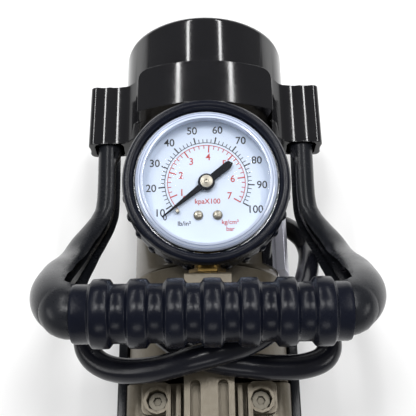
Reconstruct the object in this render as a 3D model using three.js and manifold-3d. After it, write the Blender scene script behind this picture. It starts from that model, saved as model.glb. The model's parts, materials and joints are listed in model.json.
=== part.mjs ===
// Portable electric air compressor with a dial gauge and a carrying handle.
// Millimetres, +Z up, the motor runs along Y with its cap at the back.
import * as THREE from 'three';
import { mergeVertices } from 'three/addons/utils/BufferGeometryUtils.js';
import { ParametricGeometry } from 'three/addons/geometries/ParametricGeometry.js';
import Module from 'manifold-3d';

const wasm = await Module();
wasm.setup();

// Driving dimensions
const GAP = 0.3;                 // between parts that touch
const MOTOR_Z = 48;              // height of the motor axis
const CAN_R = 30;
const CAN_WALL = 2;
const CAN_FRONT = -9;
const CAN_REAR = 84;
const SHAFT_R = 2;
const HOUSING_R = 36;            // black rear housing
const HOUSING_FRONT = 58;
const HOUSING_REAR = 103.2;
const COVER_R = 30;
const COVER_REAR = 105.6;
const EAR_FRONT = 51.5;          // handle sockets on the rear housing
const EAR_REAR = 80.2;
const EAR_IN = 33;
const EAR_OUT = 51;
const EAR_LOW = 50;
const EAR_HIGH = 63;
const PAD_HALF = 28.4;           // raised pad above the can
const PAD_REAR = 78.3;
const PAD_CURVE = 60;
const PAD_RISE = 38.2;
const GEAR_MODULE = 0.8;
const PINION_TEETH = 10;
const GEAR_TEETH = 40;
const CRANK_Z = MOTOR_Z - GEAR_MODULE * (PINION_TEETH + GEAR_TEETH) / 2;
const THROW = 7;                 // crank radius, so the stroke is 14
const GEARBOX_R = 31.5;
const GEARBOX_FRONT = -50;
const CASE_FRONT = -100.3;       // crankcase
const CASE_HALF = 32;
const CASE_LOW = 8.5;
const CASE_TOP = 57;
const CYL_Y = -79;               // axis of the vertical cylinder
const BORE_R = 12;
const BLOCK_HALF = 23.5;
const BLOCK_TOP = 72;
const HEAD_LOW = 75.8;
const HEAD_TOP = 87;
const NECK_HALF = 8.5;           // ridge that runs from the head back to the gauge
const NECK_TOP = 95;
const NECK_REAR = -19.4;
const SCREW_X = 18;
const SCREW_Y = 18;
const GAUGE_Y = 13;
const GAUGE_Z = 107;
const GAUGE_TILT = 12 * Math.PI / 180;
const STEM_DEPTH = 11.5;         // stem axis behind the gauge face
const BOOT_R = 30.5;
const LENS_R = 25.9;
const BAR_Y = -39.7;             // handle crossbar
const BAR_Z = 122;
const BAR_R = 7.6;
const GRIP_R = 9.3;
const RING_R = 10.8;
const GRIP_HALF = 43.4;
const GRIP_SHIFT = 0.9;
const HOSE_R = 4.3;
const BASE_HALF = 36;
const BASE_LOW = 4;
const BASE_FLOOR = 8;
const OUTLET_Y = -33;
const OUTLET_Z = 87.5;

const INKS = {
  glossBlack: [0x0b0c0f, 0.22, 0],
  satinBlack: [0x141519, 0.5, 0],
  rubber: [0x101116, 0.7, 0],
  paint: [0x8b857a, 0.4, 0.5],
  cast: [0x97907f, 0.5, 0.7],
  steel: [0x9aa0a6, 0.35, 1],
  brass: [0xb08d3f, 0.3, 1],
  copper: [0xa8572c, 0.4, 1],
  ferrite: [0x2c2c30, 0.8, 0],
  carbon: [0x1d1d1f, 0.7, 0],
  clear: [0xe8f0f4, 0.05, 0],
  white: [0xe8edf5, 0.5, 0],
  silver: [0xc4c8cc, 0.35, 0.8],
  ptfe: [0xd8d2bf, 0.6, 0],
  fibre: [0x4d5b4a, 0.8, 0],
};

const machine = new THREE.Group();
machine.name = 'air_compressor';

// Adds one named part in its material.
function add(name, shape, ink) {
  const [color, roughness, metalness] = INKS[ink];
  const geometry = shape instanceof THREE.BufferGeometry ? outward(shape) : toGeometry(shape);
  const mesh = new THREE.Mesh(geometry, new THREE.MeshStandardMaterial({ color, roughness, metalness }));
  mesh.name = name;
  machine.add(mesh);
  return mesh;
}

// Turns the faces of a closed shape outwards, whichever way its profile was drawn.
function outward(geometry) {
  const bare = new THREE.BufferGeometry();
  const loose = geometry.index ? geometry.toNonIndexed() : geometry;
  const at = loose.attributes.position.clone();
  const [a, b, c] = [0, 1, 2].map(() => new THREE.Vector3());
  let volume = 0;
  for (let i = 0; i < at.count; i += 3) {
    a.fromBufferAttribute(at, i);
    b.fromBufferAttribute(at, i + 1);
    c.fromBufferAttribute(at, i + 2);
    volume += a.dot(b.cross(c));
  }
  for (let i = 0; volume < 0 && i < at.count; i += 3) {
    b.fromBufferAttribute(at, i + 1);
    c.fromBufferAttribute(at, i + 2);
    at.setXYZ(i + 1, c.x, c.y, c.z);
    at.setXYZ(i + 2, b.x, b.y, b.z);
  }
  bare.setAttribute('position', at);
  return mergeVertices(bare, 1e-4);
}

// Turns a three.js geometry into a Manifold solid.
function solid(geometry) {
  const merged = outward(geometry);
  const corners = merged.index.array;
  const kept = [];
  for (let i = 0; i < corners.length; i += 3) {
    const [a, b, c] = corners.slice(i, i + 3);
    if (a !== b && b !== c && c !== a) {
      kept.push(a, b, c);
    }
  }
  return new wasm.Manifold(new wasm.Mesh({
    numProp: 3,
    vertProperties: new Float32Array(merged.attributes.position.array),
    triVerts: new Uint32Array(kept),
  }));
}

// Turns a Manifold solid back into a three.js geometry.
function toGeometry(manifold) {
  const mesh = manifold.getMesh();
  const geometry = new THREE.BufferGeometry();
  geometry.setAttribute('position', new THREE.BufferAttribute(new Float32Array(mesh.vertProperties), 3));
  geometry.setIndex(new THREE.BufferAttribute(new Uint32Array(mesh.triVerts), 1));
  geometry.computeVertexNormals();
  return geometry;
}

function join(...shapes) {
  return shapes.map(solidOf).reduce((whole, next) => whole.add(next));
}

function cut(shape, ...tools) {
  return tools.map(solidOf).reduce((left, tool) => left.subtract(tool), solidOf(shape));
}

function solidOf(shape) {
  return shape instanceof THREE.BufferGeometry ? solid(shape) : shape;
}

// A box given by its low and high corners.
function block(x0, x1, y0, y1, z0, z1) {
  return new THREE.BoxGeometry(x1 - x0, y1 - y0, z1 - z0)
    .translate((x0 + x1) / 2, (y0 + y1) / 2, (z0 + z1) / 2);
}

// A prism of an outline: 'x' draws it in (Y, Z), 'y' in (X, Z) and 'z' in (X, Y).
function prism(outline, axis, from, to, curve = 6) {
  const options = { depth: to - from, bevelEnabled: false, curveSegments: curve };
  const geometry = new THREE.ExtrudeGeometry(outline, options);
  if (axis === 'y') {
    return geometry.translate(0, 0, -to).rotateX(Math.PI / 2);
  }
  geometry.translate(0, 0, from);
  if (axis === 'x') {
    const [x, y, z] = [[1, 0, 0], [0, 1, 0], [0, 0, 1]].map((v) => new THREE.Vector3(...v));
    geometry.applyMatrix4(new THREE.Matrix4().makeBasis(y, z, x));
  }
  return geometry;
}

// A solid turned about an axis from [radius, distance along the axis] points.
function turned(points, axis = 'y', segments = 32) {
  const geometry = new THREE.LatheGeometry(points.map((p) => new THREE.Vector2(...p)), segments);
  if (axis === 'z') {
    geometry.rotateX(Math.PI / 2);
  }
  if (axis === 'x') {
    geometry.rotateZ(-Math.PI / 2);
  }
  return geometry;
}

function rod(radius, from, to, axis = 'y', segments = 24) {
  return turned([[0, from], [radius, from], [radius, to], [0, to]], axis, segments);
}

function tube(outer, inner, from, to, axis = 'y', segments = 24) {
  const loop = [[inner, from], [outer, from], [outer, to], [inner, to], [inner, from]];
  return turned(loop, axis, segments);
}

function polygon(points) {
  return new THREE.Shape(points.map((p) => new THREE.Vector2(...p)));
}

// A rectangle with round corners about (cx, cy).
function rounded(width, height, radius, cx = 0, cy = 0) {
  const shape = new THREE.Shape();
  const [x, y] = [width / 2 - radius, height / 2 - radius];
  shape.absarc(cx + x, cy + y, radius, 0, Math.PI / 2);
  shape.absarc(cx - x, cy + y, radius, Math.PI / 2, Math.PI);
  shape.absarc(cx - x, cy - y, radius, Math.PI, Math.PI * 1.5);
  shape.absarc(cx + x, cy - y, radius, Math.PI * 1.5, Math.PI * 2);
  shape.closePath();
  return shape;
}

// A sector of a ring about the origin, angles in degrees.
function sector(outer, inner, from, to) {
  const [a, b] = [from * Math.PI / 180, to * Math.PI / 180];
  const shape = new THREE.Shape();
  shape.absarc(0, 0, outer, a, b, false);
  shape.absarc(0, 0, inner, b, a, true);
  shape.closePath();
  return shape;
}

// A gear outline about the origin with one tooth centred on the given angle.
function gearOutline(teeth, addendum, dedendum, firstTooth) {
  const pitch = GEAR_MODULE * teeth / 2;
  const step = 2 * Math.PI / teeth;
  const points = [];
  for (let i = 0; i < teeth; i += 1) {
    const middle = firstTooth + i * step;
    for (const [radius, share] of [[pitch - dedendum, -0.27], [pitch + addendum, -0.11],
      [pitch + addendum, 0.11], [pitch - dedendum, 0.27]]) {
      const angle = middle + share * step;
      points.push([radius * Math.cos(angle), radius * Math.sin(angle)]);
    }
  }
  return polygon(points);
}

// A round bar along a curve whose radii across and up change from end to end.
function sweep(curve, radiusAt, sides, steps, shiftAt = () => [0, 0]) {
  const middles = curve.getSpacedPoints(steps);
  const up = new THREE.Vector3(0, 0, 1);
  const point = (u, v, target) => {
    const station = Math.min(Math.max(Math.round(v * (steps + 2)) - 1, 0), steps);
    const t = station / steps;
    const ahead = middles[Math.min(station + 1, steps)].clone();
    const along = ahead.sub(middles[Math.max(station - 1, 0)]).normalize();
    const across = new THREE.Vector3().crossVectors(along, up).normalize();
    const over = new THREE.Vector3().crossVectors(across, along);
    const closed = v === 0 || v === 1 ? 0 : 1;
    const [wide, high] = radiusAt(t);
    const [right, raised] = shiftAt(t);
    const angle = 2 * Math.PI * (Math.round(u * sides) % sides) / sides;
    target.copy(middles[station]);
    target.addScaledVector(across, right + closed * wide * Math.cos(angle));
    target.addScaledVector(over, raised + closed * high * Math.sin(angle));
  };
  return new ParametricGeometry(point, sides, steps + 2);
}

// Motor
function motorCan() {
  const inner = CAN_R - CAN_WALL;
  const profile = [[8, CAN_FRONT], [27.4, CAN_FRONT], [29.2, CAN_FRONT + 0.8], [CAN_R, CAN_FRONT + 2.6],
    [CAN_R, CAN_REAR], [inner, CAN_REAR], [inner, CAN_FRONT + 2.2], [8, CAN_FRONT + 2.2], [8, CAN_FRONT]];
  return turned(profile, 'y', 36).translate(0, 0, MOTOR_Z);
}

function magnet(side) {
  const from = side > 0 ? -68 : 112;
  return prism(sector(27.7, 22.6, from, from + 136), 'y', 8, 62, 8).translate(0, 0, MOTOR_Z);
}

function rotorCore() {
  const core = tube(21.8, SHAFT_R + GAP, 12, 58, 'y', 24);
  const slots = [];
  for (let i = 0; i < 8; i += 1) {
    slots.push(block(-1.2, 1.2, 11, 59, 13, 23).rotateY(i * Math.PI / 4));
  }
  return toGeometry(cut(core, ...slots)).translate(0, 0, MOTOR_Z);
}

// Both end turns and the wire between them, which lies in the slots of the core.
function winding() {
  const soft = 2.4;
  const ends = [[3, 12 - GAP], [58 + GAP, 67]].map(([from, to]) => turned([[4, from], [17, from],
    [19.4, from + soft], [19.4, to - soft], [17, to], [4, to], [4, from]], 'y', 16));
  const wires = [];
  for (let i = 0; i < 8; i += 1) {
    wires.push(block(-0.9, 0.9, 11, 59, 13.4, 18.5).rotateY(i * Math.PI / 4));
  }
  return toGeometry(join(...ends, ...wires)).translate(0, 0, MOTOR_Z);
}

function addMotor() {
  add('motor_can', motorCan(), 'paint');
  add('magnet_right', magnet(1), 'ferrite');
  add('magnet_left', magnet(-1), 'ferrite');
  add('rotor_shaft', rod(SHAFT_R, -25, 93, 'y', 16).translate(0, 0, MOTOR_Z), 'steel');
  add('rotor_core', rotorCore(), 'steel');
  add('rotor_winding', winding(), 'copper');
  add('commutator', tube(7, SHAFT_R + GAP, 67 + GAP, 76, 'y', 12).translate(0, 0, MOTOR_Z), 'copper');
  const plate = tube(CAN_R - CAN_WALL - GAP, 6 + GAP, 77, 80, 'y', 28);
  const holders = [-1, 1].map((side) => cut(
    block(8, 17, 69, 77.5, -4.2, 4.2), block(7, 18, 70.2, 76.2, -3, 3)).scale([side, 1, 1]));
  add('brush_plate', toGeometry(join(plate, ...holders)).translate(0, 0, MOTOR_Z), 'fibre');
  for (const [side, name] of [[1, 'brush_right'], [-1, 'brush_left']]) {
    const [near, far] = [7 + GAP, 16];
    const [x0, x1] = side > 0 ? [near, far] : [-far, -near];
    add(name, block(x0, x1, 70.5, 75.9, MOTOR_Z - 2.7, MOTOR_Z + 2.7), 'carbon');
  }
  add('bush_rear', tube(6, SHAFT_R + GAP, 76.8, 81, 'y', 12).translate(0, 0, MOTOR_Z), 'brass');
  add('bush_front', tube(8 - GAP, SHAFT_R + GAP, -9, -4.6, 'y', 12).translate(0, 0, MOTOR_Z), 'brass');
  const blades = [];
  for (let i = 0; i < 7; i += 1) {
    blades.push(block(5, 24, 85.6, 91, -0.8, 0.8).rotateY(i * 2 * Math.PI / 7));
  }
  const fan = cut(join(rod(7, 85, 92, 'y', 20), ...blades), rod(SHAFT_R + GAP, 84, 93.5, 'y', 16));
  add('cooling_fan', toGeometry(fan).translate(0, 0, MOTOR_Z), 'satinBlack');
  const pinion = prism(gearOutline(PINION_TEETH, 0.5, 0.8, -Math.PI / 2), 'y', -24, -13.5);
  add('pinion', toGeometry(cut(pinion, rod(SHAFT_R + GAP, -26, -12, 'y', 10))).translate(0, 0, MOTOR_Z), 'brass');
}

// Rear housing with the handle sockets
function earOutline(side) {
  const flute = 0.9;
  const shape = new THREE.Shape();
  shape.moveTo(side * 30.5, EAR_LOW + 1);
  shape.lineTo(side * (EAR_OUT - 3), EAR_LOW);
  shape.quadraticCurveTo(side * EAR_OUT, EAR_LOW, side * EAR_OUT, EAR_LOW + 3);
  shape.quadraticCurveTo(side * (EAR_OUT - flute), (EAR_LOW + EAR_HIGH) / 2, side * EAR_OUT, EAR_HIGH - 3);
  shape.quadraticCurveTo(side * EAR_OUT, EAR_HIGH, side * (EAR_OUT - 3), EAR_HIGH);
  shape.quadraticCurveTo(side * (EAR_OUT - 6), EAR_HIGH - flute, side * (EAR_OUT - 8.5), EAR_HIGH);
  shape.quadraticCurveTo(side * (EAR_OUT - 11.5), EAR_HIGH - flute, side * (EAR_OUT - 14), EAR_HIGH);
  shape.quadraticCurveTo(side * (EAR_IN + 0.5), EAR_HIGH, side * (EAR_IN - 1), EAR_HIGH + 3);
  shape.lineTo(side * 28.5, EAR_HIGH + 6);
  shape.closePath();
  return prism(shape, 'y', EAR_FRONT, EAR_REAR, 3);
}

function earSocket(side) {
  const outline = rounded(12.4, 10.8, 2, side * 42, (EAR_LOW + EAR_HIGH) / 2);
  return prism(outline, 'y', EAR_FRONT - 1, EAR_REAR - 3, 1);
}

function pad() {
  const outline = new THREE.Shape();
  const corner = 5;
  outline.moveTo(-PAD_HALF, HOUSING_FRONT);
  outline.lineTo(PAD_HALF, HOUSING_FRONT);
  outline.lineTo(PAD_HALF, PAD_REAR - corner);
  outline.quadraticCurveTo(PAD_HALF, PAD_REAR - 0.5, PAD_HALF - corner, PAD_REAR - 0.3);
  outline.lineTo(0, PAD_REAR);
  outline.lineTo(-PAD_HALF + corner, PAD_REAR - 0.3);
  outline.quadraticCurveTo(-PAD_HALF, PAD_REAR - 0.5, -PAD_HALF, PAD_REAR - corner);
  const column = prism(outline, 'z', MOTOR_Z + 15, MOTOR_Z + PAD_RISE + 1, 5);
  const crown = rod(PAD_CURVE, HOUSING_FRONT - 5, PAD_REAR + 5, 'y', 72);
  return solid(column).intersect(solid(crown.translate(0, 0, MOTOR_Z + PAD_RISE - PAD_CURVE)));
}

function rearHousing() {
  const fillet = 3.2;
  const profile = [[30.3, HOUSING_FRONT], [HOUSING_R - 0.5, HOUSING_FRONT], [HOUSING_R, HOUSING_FRONT + 0.5]];
  for (let i = 0; i <= 3; i += 1) {
    const angle = i * Math.PI / 6;
    profile.push([HOUSING_R - fillet + fillet * Math.cos(angle),
      HOUSING_REAR - fillet + fillet * Math.sin(angle)]);
  }
  profile.push([26, HOUSING_REAR], [26, HOUSING_REAR - 2.5], [32.5, HOUSING_REAR - 2.5],
    [32.5, 85.5], [30.3, 85.5], [30.3, HOUSING_FRONT]);
  const shell = turned(profile, 'y', 64).translate(0, 0, MOTOR_Z);
  const bore = rod(CAN_R + GAP, EAR_FRONT - 5, 85.5, 'y', 36).translate(0, 0, MOTOR_Z);
  const ears = [-1, 1].map((side) => earOutline(side));
  const whole = cut(join(pad(), ...ears), bore);
  return cut(join(shell, whole), earSocket(-1), earSocket(1));
}

function endCover() {
  const lip = 1.2;
  const rim = turned([[0, HOUSING_REAR + GAP], [COVER_R, HOUSING_REAR + GAP], [COVER_R, COVER_REAR - lip],
    [COVER_R - lip, COVER_REAR], [0, COVER_REAR]], 'y', 36);
  const spigot = tube(26 - GAP, 24, HOUSING_REAR - 3, HOUSING_REAR + 1, 'y', 36);
  const slots = [];
  for (const angle of [40, 140, 215, 325]) {
    const slot = prism(rounded(9, 3, 1.4, 18, 0), 'y', 96, 108, 1);
    slots.push(slot.rotateY(angle * Math.PI / 180));
  }
  const window = prism(rounded(19.4, 13, 1, 0, 3), 'y', 96, 108, 2);
  const inlet = rod(4.5, 96, 108, 'y', 14).translate(0, 0, -16);
  return toGeometry(cut(join(rim, spigot), ...slots, window, inlet)).translate(0, 0, MOTOR_Z);
}

function switchBody() {
  const flange = prism(rounded(22, 15.4, 1.5, 0, 3), 'y', COVER_REAR + GAP, COVER_REAR + 1.5, 3);
  const body = prism(rounded(18.8, 12.4, 0.8, 0, 3), 'y', 95.5, COVER_REAR + 0.5, 2);
  const well = prism(rounded(16, 9.6, 0.5, 0, 3), 'y', 98, 109, 2);
  return toGeometry(cut(join(flange, body), well)).translate(0, 0, MOTOR_Z);
}

const ROCKER_Y = 102.5;
const ROCKER_Z = MOTOR_Z + 3;
const ROCKER_OFF = 8 * Math.PI / 180;

// The rocker tips about Z, across the well's long side.
function rocker() {
  const face = polygon([[-6.4, -2.2], [6.4, -2.2], [7.5, 0], [7.1, 2.4], [6.1, 5], [0, 3.9], [-6.1, 5],
    [-7.1, 2.4], [-7.5, 0]]);
  return prism(face, 'z', -4.5, 4.5).rotateZ(ROCKER_OFF).translate(0, ROCKER_Y, ROCKER_Z);
}

function addRear() {
  add('rear_housing', rearHousing(), 'glossBlack');
  add('end_cover', endCover(), 'glossBlack');
  add('switch_body', switchBody(), 'satinBlack');
  add('switch_rocker', rocker(), 'satinBlack');
  const jack = cut(join(rod(4.2, 95, COVER_REAR + 0.5, 'y', 20),
    rod(6, COVER_REAR + GAP, COVER_REAR + 2, 'y', 20)), rod(3, 97, 110, 'y', 20));
  add('power_socket', toGeometry(jack).translate(0, 0, MOTOR_Z - 16), 'satinBlack');
  const rail = prism(sector(34.3, CAN_R + GAP, 4, 22), 'y', -6, EAR_FRONT - GAP, 3);
  add('side_rail', rail.translate(0, 0, MOTOR_Z), 'silver');
}

// Gearbox, crank train and crankcase
function gearboxOutline(grow) {
  const shape = new THREE.Shape();
  const low = CRANK_Z - CASE_LOW + grow;
  const drop = MOTOR_Z - CRANK_Z;
  const lean = Math.asin((GEARBOX_R + grow - low) / drop);
  shape.absarc(0, MOTOR_Z, GEARBOX_R + grow, -lean, Math.PI + lean, false);
  shape.absarc(0, CRANK_Z, low, Math.PI + lean, 2 * Math.PI - lean, false);
  shape.closePath();
  return shape;
}

function gearbox() {
  const rear = CAN_FRONT - GAP;
  const body = prism(gearboxOutline(0), 'y', GEARBOX_FRONT, rear, 14);
  const hollow = prism(gearboxOutline(-3), 'y', GEARBOX_FRONT - 1, -36.5, 14);
  return cut(body, hollow,
    rod(18, -30, rear - 3, 'y', 24).translate(0, 0, CRANK_Z),
    rod(9, -30, rear - 3, 'y', 16).translate(0, 0, MOTOR_Z),
    rod(8 + GAP, -37, -29, 'y', 24).translate(0, 0, CRANK_Z),
    rod(6, -13, -8, 'y', 24).translate(0, 0, MOTOR_Z));
}

function crankshaft() {
  const web = rod(11, -72, -66, 'y', 20);
  const pin = rod(2.5, -75.7, -71, 'y', 16).translate(0, 0, THROW);
  const waist = [-1, 1].map((side) => block(Math.min(side * 5.5, side * 13), Math.max(side * 5.5, side * 13),
    -73, -65, 1, 12));
  return toGeometry(join(cut(web, ...waist), pin, rod(3, -67, -13, 'y', 20))).translate(0, 0, CRANK_Z);
}

function crankcase() {
  const height = CASE_TOP - CASE_LOW;
  const body = prism(rounded(2 * CASE_HALF, height, 5, 0, CASE_LOW + height / 2), 'y', CASE_FRONT,
    GEARBOX_FRONT - GAP, 4);
  return cut(body,
    prism(rounded(44, 38, 6, 0, 32), 'y', CASE_FRONT - 1, -65, 3),
    rod(15.6, 40, CASE_TOP + 1, 'z', 32).translate(0, CYL_Y, 0),
    rod(8 + GAP, -66, -57.7, 'y', 24).translate(0, 0, CRANK_Z),
    rod(5, -66, -49, 'y', 20).translate(0, 0, CRANK_Z));
}

function frontCover() {
  const plate = prism(rounded(58, 44, 7, 0, 32), 'y', CASE_FRONT - GAP - 3, CASE_FRONT - GAP, 4);
  const dome = turned([[0, -108.3], [13, -108.3], [15, -106.3], [15, -102], [0, -102]], 'y', 24).translate(0, 0, 32);
  return join(plate, dome);
}

function addGearTrain() {
  add('gearbox_housing', gearbox(), 'cast');
  const wheel = prism(gearOutline(GEAR_TEETH, 0.5, 0.8, Math.PI / 2 + Math.PI / GEAR_TEETH), 'y', -23, -14);
  add('drive_gear', toGeometry(cut(wheel, rod(3 + GAP, -24, -13, 'y', 12)))
    .translate(0, 0, CRANK_Z), 'steel');
  add('crankshaft', crankshaft(), 'steel');
  add('bearing_rear', tube(8, 3 + GAP, -36.4, -30, 'y', 16).translate(0, 0, CRANK_Z), 'steel');
  add('bearing_front', tube(8, 3 + GAP, -64.4, -58, 'y', 16).translate(0, 0, CRANK_Z), 'steel');
  add('crankcase', crankcase(), 'cast');
  add('front_cover', frontCover(), 'satinBlack');
}

// Cylinder, piston and head
function screwPlaces() {
  return [[-1, 1], [1, 1], [-1, -1], [1, -1]].map(([a, b]) => [a * SCREW_X, CYL_Y + b * SCREW_Y]);
}

function screwHoles(from, to, radius = 1.8 + GAP) {
  return screwPlaces().map(([x, y]) => rod(radius, from, to, 'z', 8).translate(x, y, 0));
}

function cylinderBlock() {
  const fins = [[CASE_TOP + GAP, 60.3, 24], [62.3, 64, 23], [65.8, 67.5, 23], [69.3, BLOCK_TOP, 24]];
  const plates = fins.map(([low, high, half]) => prism(
    rounded(2 * BLOCK_HALF, 2 * half, 4, 0, CYL_Y), 'z', low, high, 1));
  const barrel = rod(17, CASE_TOP + GAP, BLOCK_TOP, 'z', 16).translate(0, CYL_Y, 0);
  const posts = screwPlaces().map(([x, y]) => rod(4, 58, BLOCK_TOP, 'z', 8).translate(x, y, 0));
  const bore = rod(14.5 + GAP, 50, 80, 'z', 20).translate(0, CYL_Y, 0);
  return cut(join(barrel, ...plates, ...posts), bore, ...screwHoles(60, 80));
}

function pistonRod() {
  const low = CRANK_Z + THROW;
  const eye = rod(5.5, -3, 3, 'y', 24).translate(0, CYL_Y, low);
  const beam = prism(polygon([[-4.4, low + 2], [4.4, low + 2], [3.2, 62.5], [-3.2, 62.5]]), 'y',
    CYL_Y - 3, CYL_Y + 3);
  const crown = turned([[0, 62], [9.5, 62], [10.8, 63], [10.8, 66.4], [0, 66.4]], 'z', 20).translate(0, CYL_Y, 0);
  const stud = rod(1.5, 66, 67.6, 'z', 12).translate(0, CYL_Y, 0);
  const hole = rod(2.8, -4, 4, 'y', 20).translate(0, CYL_Y, low);
  return cut(join(eye, beam, crown, stud), hole);
}

function pistonCup() {
  const profile = [[1.8, 66.7], [11.2, 66.7], [11.7, 67.4], [11.7, 70], [11, 70], [10.6, 68], [1.8, 68], [1.8, 66.7]];
  return turned(profile, 'z', 24).translate(0, CYL_Y, 0);
}

function cylinderHead() {
  const base = prism(rounded(2 * BLOCK_HALF, 49, 4, 0, CYL_Y), 'z', HEAD_LOW, 80, 3);
  const rear = CYL_Y + 24.5;
  const front = CYL_Y - 24.5;
  const fins = [10.6, 14.1].flatMap((x) => [-1, 1].map((side) => prism(
    rounded(1.7, 46, 0.7, side * x, CYL_Y), 'z', 79, HEAD_TOP, 1)));
  const outer = [-1, 1].map((side) => prism(rounded(1.8, 26, 0.7, side * 22.4, CYL_Y), 'z', 79, HEAD_TOP, 1));
  const bosses = screwPlaces().map(([x, y]) => rod(4.7, 79, HEAD_TOP, 'z', 12).translate(x, y, 0));
  const tabs = screwPlaces().map(([x, y]) => prism(
    rounded(10, 11, 2, x + Math.sign(x) * 0.6, y + Math.sign(y - CYL_Y) * 1), 'z', 79, 84, 1));
  const ridge = prism(polygon([[front + 2, 79], [rear, 79], [rear + 4, 81], [NECK_REAR - 3, 81],
    [NECK_REAR, 83], [NECK_REAR + 1.6, NECK_TOP - 0.4], [NECK_REAR + 1, NECK_TOP], [front + 10, NECK_TOP],
    [front + 4, NECK_TOP - 3]]), 'x', -NECK_HALF, NECK_HALF);
  return join(base, ridge, ...fins, ...outer, ...bosses, ...tabs);
}

function headWithPorts() {
  const rear = CYL_Y + 24.5;
  const slots = [-1, 1].map((side) => prism(rounded(3.4, 40, 1.7, side * 4.7, rear - 21), 'z', 91, 97, 2));
  const stem = rod(4.9 + GAP, 0, 14, 'y', 16).rotateX(Math.PI);
  const stemPort = inGauge(stem.translate(0, -33, -STEM_DEPTH));
  const duct = rod(2, CYL_Y + 6, OUTLET_Y, 'y', 12).translate(0, 0, OUTLET_Z);
  const outlet = rod(3.2 + GAP, 0, 12, 'x', 16).translate(0, OUTLET_Y, OUTLET_Z);
  const riser = rod(2, 77, OUTLET_Z, 'z', 12).translate(0, CYL_Y + 6, 0);
  const chamber = prism(rounded(18, 14, 2, 0, CYL_Y + 4), 'z', HEAD_LOW - 1, 78.4, 2);
  const intake = rod(1.5, HEAD_LOW - 1, 82, 'z', 12).translate(0, CYL_Y - 7, 0);
  const counterbores = screwHoles(80, 90, 3.4 + GAP);
  return cut(cylinderHead(), ...slots, stemPort, duct, outlet, riser, chamber, intake, ...counterbores,
    ...screwHoles(70, 82));
}

function addCylinder() {
  add('cylinder_block', cylinderBlock(), 'cast');
  add('cylinder_liner', tube(14, BORE_R, 46, BLOCK_TOP, 'z', 24).translate(0, CYL_Y, 0), 'steel');
  add('piston_rod', pistonRod(), 'steel');
  add('piston_cup', pistonCup(), 'ptfe');
  add('cup_retainer', turned([[0, 68.3], [6, 68.3], [6, 69.2], [3, 70], [0, 70]], 'z', 12)
    .translate(0, CYL_Y, 0), 'steel');
  const gasket = prism(rounded(45, 47, 4, 0, CYL_Y), 'z', BLOCK_TOP + GAP, 72.9, 1);
  add('head_gasket', cut(gasket, rod(12.6, 71, 74, 'z', 20).translate(0, CYL_Y, 0), ...screwHoles(71, 74)), 'fibre');
  const plate = prism(rounded(46, 48, 4, 0, CYL_Y), 'z', 73.2, 75.5, 1);
  const ports = [-4, 4].map((dy) => rod(1.5, 72, 77, 'z', 8).translate(0, CYL_Y + dy, 0));
  add('valve_plate', cut(plate, ...ports, ...screwHoles(72, 77)), 'steel');
  add('inlet_reed', prism(rounded(4.5, 14, 2, 0, CYL_Y - 2.5), 'z', 72.5, 72.9, 1), 'steel');
  add('outlet_reed', prism(rounded(4.5, 12, 2, 0, CYL_Y + 4.5), 'z', 75.8, 76.2, 1), 'steel');
  add('cylinder_head', headWithPorts(), 'cast');
  screwPlaces().forEach(([x, y], i) => {
    const profile = [[0, 60.5], [1.8, 60.5], [1.8, 80.3], [3.3, 80.3], [3.3, 83.6], [0, 83.6]];
    const key = prism(polygon([0, 1, 2, 3, 4, 5].map((k) => [1.5 * Math.cos(k * Math.PI / 3),
      1.5 * Math.sin(k * Math.PI / 3)])), 'z', 82, 85);
    add(`head_screw_${i + 1}`, toGeometry(cut(turned(profile, 'z', 10), key)).translate(x, y, 0), 'steel');
  });
}

// Gauge, drawn facing +Z about its face centre, then tilted to the front
function inGauge(geometry) {
  return geometry.rotateX(GAUGE_TILT).translate(0, GAUGE_Y, GAUGE_Z);
}

function addGaugePart(name, shape, ink) {
  add(name, inGauge(shape instanceof THREE.BufferGeometry ? shape : toGeometry(shape)), ink);
}

function gaugeBoot() {
  const profile = [[26.5, -2.4], [26.6, -0.4], [28.4, 0.4], [BOOT_R, -1.6], [29.8, -7], [30.7, -12],
    [30.9, -15.6], [27.6, -21.8], [22, -22.2], [22, -20.9], [27.3, -20.9], [27.3, -2.8], [26.5, -2.4]];
  const ring = turned(profile, 'z', 32);
  const hole = rod(7.2, 20, 34, 'y', 12).rotateX(Math.PI).translate(0, 0, -STEM_DEPTH);
  return cut(ring, hole);
}

function gaugeCase() {
  const cup = turned([[0, -20.6], [27, -20.6], [27, -3.2], [26.3, -3.2], [26.3, -19.8], [0, -19.8]], 'z', 28);
  const hole = block(-5.4, 5.4, -29, -24, -STEM_DEPTH - 5.4, -STEM_DEPTH + 5.4);
  return cut(cup, hole);
}

function gaugeLens() {
  return turned([[0, -1.1], [22.9, -1.1], [23.4, -4.9], [25.2, -4.9], [LENS_R, -3.6], [LENS_R, -0.9], [24, 0.9],
    [22.8, 1.1], [0, 1.1]], 'z', 36);
}

const POINTER_REST = 218.3 * Math.PI / 180;

function pointer() {
  const arm = prism(polygon([[20.9, -0.15], [20.9, 0.15], [2, 1.3], [-9.4, 1.3], [-11.4, 0], [-9.4, -1.3],
    [2, -1.3]]), 'z', -3.9, -3.4).rotateZ(POINTER_REST);
  const hub = rod(3, -4, -3.1, 'z', 12);
  const cap = turned([[0, -3.2], [2.45, -3.2], [2.45, -2.1], [2, -1.7], [0, -1.7]], 'z', 12);
  return join(arm, hub, cap, rod(0.8, -9, -3.5, 'z', 10));
}

function gaugeStem() {
  const hexagon = polygon([0, 1, 2, 3, 4, 5].map((i) => [6.8 * Math.cos(i * Math.PI / 3),
    6.8 * Math.sin(i * Math.PI / 3)]));
  const whole = join(prism(hexagon, 'y', -32.3, -30.9), rod(4.9, -44, -31.5, 'y', 16),
    rod(5, -31.5, -26, 'y', 16), block(-4.6, 4.6, -28, -13, -4.6, 4.6));
  return whole.translate([0, 0, -STEM_DEPTH]);
}

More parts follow.
